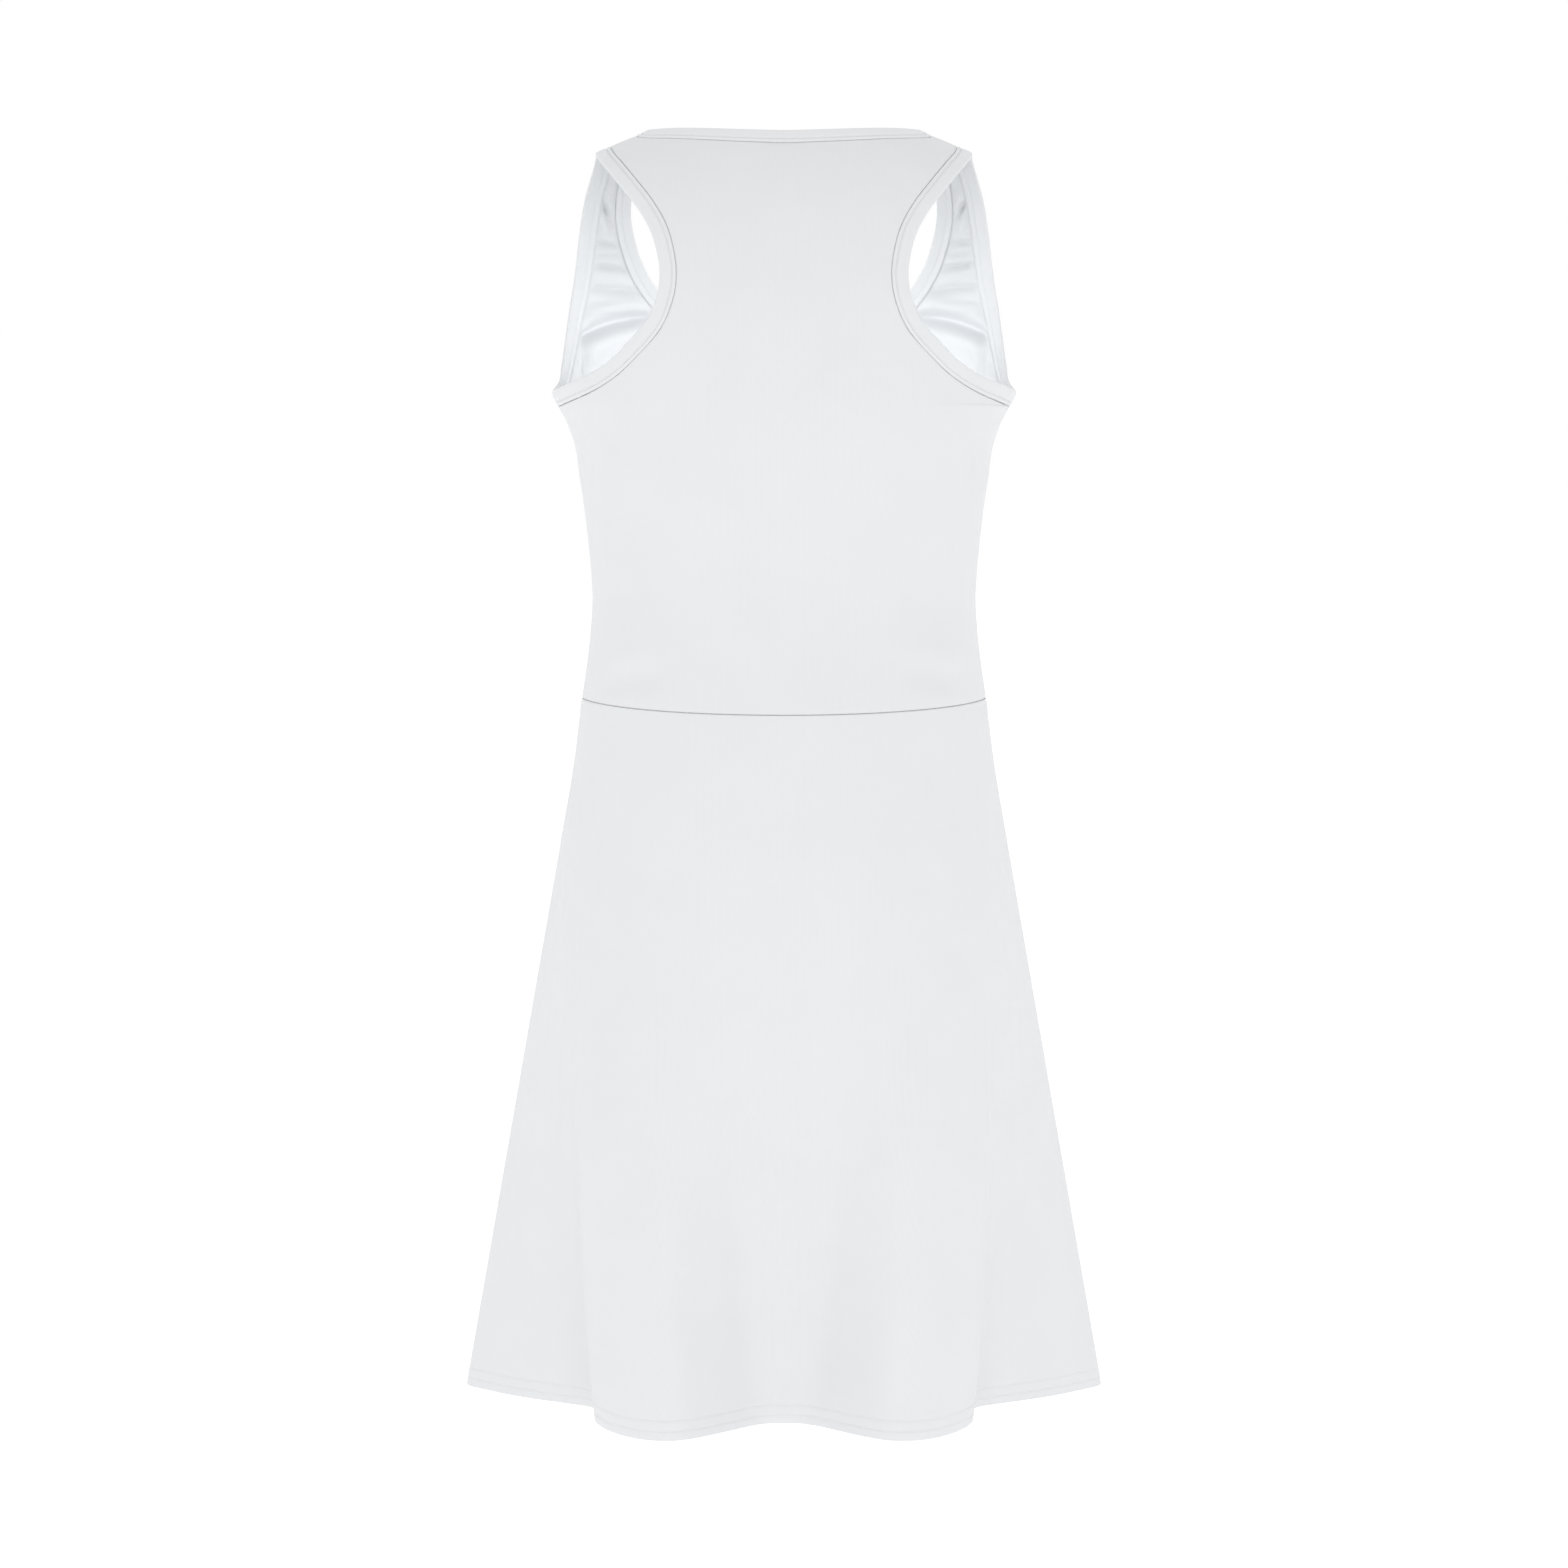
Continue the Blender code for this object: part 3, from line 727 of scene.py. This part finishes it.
backSkirt = makeSkirt("back_skirt", back, skirtPanel)
frontSkirt = makeSkirt("front_skirt", front, skirtPanel)
print("skirt panels made")


# ---- bindings

neckBinding = {
    "width": 0.0097,
    "thickness": 0.0021,
    "lap": 0.0016,           # how far its lowest layer runs under the panel
    "tongue": 0.0004,        # how thick that layer is
    "lift": 0.45,            # how much it stands up behind the neck
    "liftDepth": 0.055,
    "toward": (0.0, 0.02, 0.01),
    "around": 34,
    "stations": 420,
    "stitchLine": 0.0028,    # how far the sewn groove lies from the seam
    "groove": 0.00080,
    "grooveWidth": 0.0006,
}
armBinding = dict(neckBinding, width=0.0110, lift=0.0, toward=(0.18, -0.01, -0.09), stations=400)


# The seam loop at even distances, with its normals: back and front joined over the shoulder
def seamLoop(kind, sign, stations):
    backPoints, backNormals = seamEdge(kind, back)
    frontPoints, frontNormals = seamEdge(kind, front)
    points = np.concatenate([backPoints[::-1], frontPoints[1:]])
    normals = np.concatenate([backNormals[::-1], frontNormals[1:]])
    mirror = np.array([-1.0, 1.0, 1.0])
    if kind == "neck":
        points = np.concatenate([points, (points * mirror)[::-1][1:]])
        normals = np.concatenate([normals, (normals * mirror)[::-1][1:]])
    else:
        points = np.concatenate([points, points[:1]])
        normals = np.concatenate([normals, normals[:1]])
        points, normals = points * (sign, 1, 1), normals * (sign, 1, 1)
    run = np.concatenate([[0], np.cumsum(np.linalg.norm(np.diff(points, axis=0), axis=1))])
    at = np.linspace(0, run[-1], stations + 1)[:-1]
    even = np.stack([np.interp(at, run, points[:, k]) for k in range(3)], axis=-1)
    facing = np.stack([np.interp(at, run, normals[:, k]) for k in range(3)], axis=-1)
    return even, facing / np.linalg.norm(facing, axis=-1, keepdims=True), at


# Direction in which the binding reaches from the seam into its opening
def bandReach(points, normals, toward, lift):
    along = np.roll(points, -1, axis=0) - np.roll(points, 1, axis=0)
    along /= np.linalg.norm(along, axis=-1, keepdims=True)
    reach = np.cross(along, normals)
    reach *= np.sign(np.sum(reach * (toward - points), axis=-1, keepdims=True))
    reach[:, 2] += lift
    reach -= np.sum(reach * along, axis=-1, keepdims=True) * along
    reach /= np.linalg.norm(reach, axis=-1, keepdims=True)
    upright = np.cross(along, reach)
    upright *= np.sign(np.sum(upright * normals, axis=-1, keepdims=True))
    return along, reach, upright


# Closed outline of a binding, w across and h up: out along the top, back along the bottom. Its
# height is that of a flat pad with round edges, less a groove along the stitching. Its lowest
# layer runs on under the panel's edge as a thin tongue
def bandProfile(band):
    t = (1 - np.cos(np.linspace(0, math.pi, band["around"] // 2 + 1))) / 2
    near = (band["stitchLine"] + np.linspace(-2.2, 2.2, 9) * band["grooveWidth"]) / band["width"]
    t = np.unique(np.concatenate([t, near]))
    pad = (1 - np.abs(2 * t - 1) ** 6) ** 0.5 * band["thickness"] / 2
    groove = np.exp(-(((t * band["width"] - band["stitchLine"]) / band["grooveWidth"]) ** 2))
    low, tongue = -band["thickness"] / 2, -band["thickness"] / 2 + band["tongue"]
    top = np.maximum(pad - band["groove"] * groove, tongue)
    bottom = np.where(t < 0.5, low, -pad) + band["groove"] * 0.4 * groove
    w = np.concatenate([[-band["lap"], 0.0], t * band["width"], t[-2::-1] * band["width"], [-band["lap"]]])
    return w, np.concatenate([[tongue, tongue], top, bottom[-2::-1], [low]])


def makeBinding(node, kind, sign, band):
    points, normals, run = seamLoop(kind, sign, band["stations"])
    toward = np.array(band["toward"]) * (sign, 1, 1)
    lift = band["lift"] * np.clip(-points[:, 1] / band["liftDepth"], 0, 1)
    along, reach, upright = bandReach(points, normals, toward, lift)
    w, h = bandProfile(band)
    middle = points - normals * dressForm["wall"] / 2
    out = dressForm["seamGap"] + w
    grid = middle[:, None] + out[None, :, None] * reach[:, None] + h[None, :, None] * upright[:, None]
    wales = run / bindingLook["wale"] * band["stations"] / (band["stations"] - 1)
    run = run * round(wales[-1]) / wales[-1]   # a whole number of knit columns round the loop
    uv = np.stack(np.broadcast_arrays(run[:, None], w[None, :]), axis=-1)
    inwardTurning = np.sum(np.cross(along, reach) * upright) > 0
    if inwardTurning:
        grid, uv = grid[:, ::-1], uv[:, ::-1]
    piece = clothMesh(node + "_cloth", [grid], [uv], bindingJersey, closed=True)
    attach(piece, "root")
    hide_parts(node)
    return piece


neckBand = makeBinding("neck_binding", "neck", 1, neckBinding)
armBandLeft = makeBinding("armhole_binding_left", "arm", -1, armBinding)
armBandRight = makeBinding("armhole_binding_right", "arm", 1, armBinding)
print("bindings made")


# ---- stitching



# Even stations along an open path, with the directions along it there
def evenStations(points, normals, pitch):
    run = np.concatenate([[0], np.cumsum(np.linalg.norm(np.diff(points, axis=0), axis=1))])
    at = np.arange(pitch / 2, run[-1], pitch)
    centre = np.stack([np.interp(at, run, points[:, k]) for k in range(3)], axis=-1)
    normal = np.stack([np.interp(at, run, normals[:, k]) for k in range(3)], axis=-1)
    slopes = np.gradient(points, run, axis=0)
    along = np.stack([np.interp(at, run, slopes[:, k]) for k in range(3)], axis=-1)
    along /= np.linalg.norm(along, axis=-1, keepdims=True)
    normal -= np.sum(normal * along, axis=-1, keepdims=True) * along
    normal /= np.linalg.norm(normal, axis=-1, keepdims=True)
    return centre, along, normal


# Each stitch is a small ellipsoid, long along the seam: (L/2 cos a, W/2 sin a cos b, H/2 sin a sin b)
def makeStitches(name, paths, look, material):
    polar = np.linspace(0.0, math.pi, look["rings"] + 1)
    polar[0], polar[-1] = 0.12, math.pi - 0.12
    around = np.linspace(0, 2 * math.pi, look["round"] + 1)[:-1]
    a, b = np.meshgrid(polar, around, indexing="ij")
    local = np.stack([look["length"] / 2 * np.cos(a), look["width"] / 2 * np.sin(a) * np.cos(b),
                      look["height"] / 2 * np.sin(a) * np.sin(b)], axis=-1).reshape(-1, 3)
    rows, columns = a.shape
    index = np.arange(rows * columns).reshape(rows, columns)
    ring = np.concatenate([index, index[:, :1]], axis=1)
    quads = np.stack([ring[:-1, :-1], ring[:-1, 1:], ring[1:, 1:], ring[1:, :-1]], axis=-1).reshape(-1, 4)
    caps = [index[0, ::-1].tolist(), index[-1].tolist()]
    vertices, faces, start = [], [], 0
    for points, normals in paths:
        centre, along, normal = evenStations(points, normals, look["pitch"])
        across = np.cross(normal, along)
        placed = (centre[:, None] + local[None, :, :1] * along[:, None]
                  + local[None, :, 1:2] * across[:, None] + local[None, :, 2:] * normal[:, None])
        count = len(centre)
        first = start + np.arange(count) * len(local)
        faces += (quads[None] + first[:, None, None]).reshape(-1, 4).tolist()
        faces += [[at + k for k in cap] for at in first.tolist() for cap in caps]
        vertices.append(placed.reshape(-1, 3))
        start += count * len(local)
    mesh = bpy.data.meshes.new(name)
    mesh.from_pydata(np.concatenate(vertices).tolist(), [], faces)
    mesh.polygons.foreach_set("use_smooth", [True] * len(faces))
    mesh.materials.append(material)
    piece = bpy.data.objects.new(name, mesh)
    bpy.context.scene.collection.objects.link(piece)
    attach(piece, "root")
    return piece


# The stitching sunk in the groove of a binding, on its outer or its inner face
def topstitchPath(kind, sign, band, look, face=1):
    points, normals, run = seamLoop(kind, sign, band["stations"])
    toward = np.array(band["toward"]) * (sign, 1, 1)
    lift = band["lift"] * np.clip(-points[:, 1] / band["liftDepth"], 0, 1)
    along, reach, upright = bandReach(points, normals, toward, lift)
    deep = band["groove"] if face > 0 else band["groove"] * 0.4
    height = face * (band["thickness"] / 2 - deep + look["height"] * 0.2)
    path = points - normals * dressForm["wall"] / 2 + upright * height
    path = path + reach * (dressForm["seamGap"] + band["stitchLine"])
    return np.concatenate([path, path[:1]]), face * np.concatenate([upright, upright[:1]])


def hemPaths(node, side, look, panel):
    turn = np.linspace(-math.pi / 2 + 0.008, math.pi / 2 - 0.008, 700)
    paths = []
    for above in look["hemLines"]:
        level = np.full(turn.shape, dressForm["hemLevel"] + above)
        paths.append(skirtCloth(node, side, turn, level, -look["height"] * 0.15))
    return paths


def bindingStitches(name, kind, sign, band):
    paths = [topstitchPath(kind, sign, band, stitchLook, face) for face in (1, -1)]
    return makeStitches(name, paths, stitchLook, thread)


neckStitches = bindingStitches("neck_topstitch", "neck", 1, neckBinding)
armStitchesLeft = bindingStitches("armhole_topstitch_left", "arm", -1, armBinding)
armStitchesRight = bindingStitches("armhole_topstitch_right", "arm", 1, armBinding)
backHemStitches = makeStitches("back_hem_coverstitch", hemPaths("back_skirt", back, stitchLook, skirtPanel),
                               stitchLook, thread)
frontHemStitches = makeStitches("front_hem_coverstitch", hemPaths("front_skirt", front, stitchLook, skirtPanel),
                                stitchLook, thread)
print("stitching made")


# ---- floor, light and camera

studio = {
    "floorLevel": -1.25,
    "floorSize": 80.0,
    "floorColor": (0.97, 0.97, 0.97, 1.0),
    "floorGlow": 0.12,
    "worldColor": (1.0, 1.0, 1.0, 1.0),
    "worldStrength": 1.0,
}
# Columns: name, place, size, power in watts
softboxes = (
    ("softbox_left", (-2.4, 1.0, 0.1), 1.5, 5.5),
    ("softbox_right", (2.4, 1.0, 0.1), 1.5, 5.5),
    ("softbox_behind", (0.0, -1.9, -1.15), 1.2, 8.5),
    ("softbox_before", (0.0, 1.9, -1.15), 1.2, 5.5),
)
insideFill = {
    "place": (0.035, -0.060, -0.190),
    "aim": (-0.105, 0.085, -0.135),   # one fill to each front strap, crossing at the centre
    "size": 0.06,
    "power": 0.052,
    "spread": 70.0,          # degrees, so that the shoulder corners stay in shade
}
photoCamera = {
    "distance": 2.6,
    "elevation": 4.2,        # degrees above level
    "target": (0.0, 0.0, -0.425),
    "focalPixels": 3900.0,   # for an image 1568 pixels wide
    "imagePixels": 1568.0,
    "sensor": 36.0,
}


def makeFloor(look):
    mesh = bpy.data.meshes.new("studio_floor")
    half, level = look["floorSize"] / 2, look["floorLevel"]
    mesh.from_pydata([(-half, -half, level), (half, -half, level), (half, half, level), (-half, half, level)],
                     [], [(0, 1, 2, 3)])
    floor = bpy.data.objects.new("studio_floor", mesh)
    bpy.context.scene.collection.objects.link(floor)
    material = bpy.data.materials.new("pale_floor")
    material.use_nodes = True
    shader = material.node_tree.nodes["Principled BSDF"]
    shader.inputs["Base Color"].default_value = look["floorColor"]
    shader.inputs["Roughness"].default_value = 0.9
    shader.inputs["Specular IOR Level"].default_value = 0.0
    shader.inputs["Emission Color"].default_value = look["worldColor"]
    shader.inputs["Emission Strength"].default_value = look["floorGlow"]
    mesh.materials.append(material)


def makeSoftbox(name, place, aim, size, power, spread=180.0):
    lamp = bpy.data.lights.new(name, "AREA")
    lamp.size = size
    lamp.energy = power
    lamp.spread = math.radians(spread)
    holder = bpy.data.objects.new(name, lamp)
    holder.location = place
    holder.visible_camera = False
    direction = np.array(aim) - np.array(place)
    flat = math.hypot(direction[0], direction[1])
    holder.rotation_euler = (math.atan2(flat, -direction[2]), 0, math.atan2(-direction[0], direction[1]))
    bpy.context.scene.collection.objects.link(holder)


def makeLight(look, boxes, aim):
    world = bpy.data.worlds.new("studio_world")
    world.use_nodes = True
    backdrop = world.node_tree.nodes["Background"]
    backdrop.inputs["Color"].default_value = look["worldColor"]
    backdrop.inputs["Strength"].default_value = look["worldStrength"]
    bpy.context.scene.world = world
    for name, place, size, power in boxes:
        makeSoftbox(name, place, aim, size, power)


def makeCamera(look):
    lens = bpy.data.cameras.new("photo_camera")
    lens.sensor_width = look["sensor"]
    lens.lens = look["focalPixels"] / look["imagePixels"] * look["sensor"]
    lens.clip_end = 200.0
    camera = bpy.data.objects.new("photo_camera", lens)
    tilt = math.radians(look["elevation"])
    x, y, z = look["target"]
    camera.location = (x, y - look["distance"] * math.cos(tilt), z + look["distance"] * math.sin(tilt))
    camera.rotation_euler = (math.pi / 2 - tilt, 0, 0)
    bpy.context.scene.collection.objects.link(camera)
    bpy.context.scene.camera = camera


makeFloor(studio)
makeLight(studio, softboxes, photoCamera["target"])
for sign, name in ((1, "fill_inside_left"), (-1, "fill_inside_right")):
    makeSoftbox(name, np.array(insideFill["place"]) * (sign, 1, 1), np.array(insideFill["aim"]) * (sign, 1, 1),
                insideFill["size"], insideFill["power"], insideFill["spread"])
makeCamera(photoCamera)
bpy.context.scene.view_settings.view_transform = "Standard"
print("floor, light and camera ready")
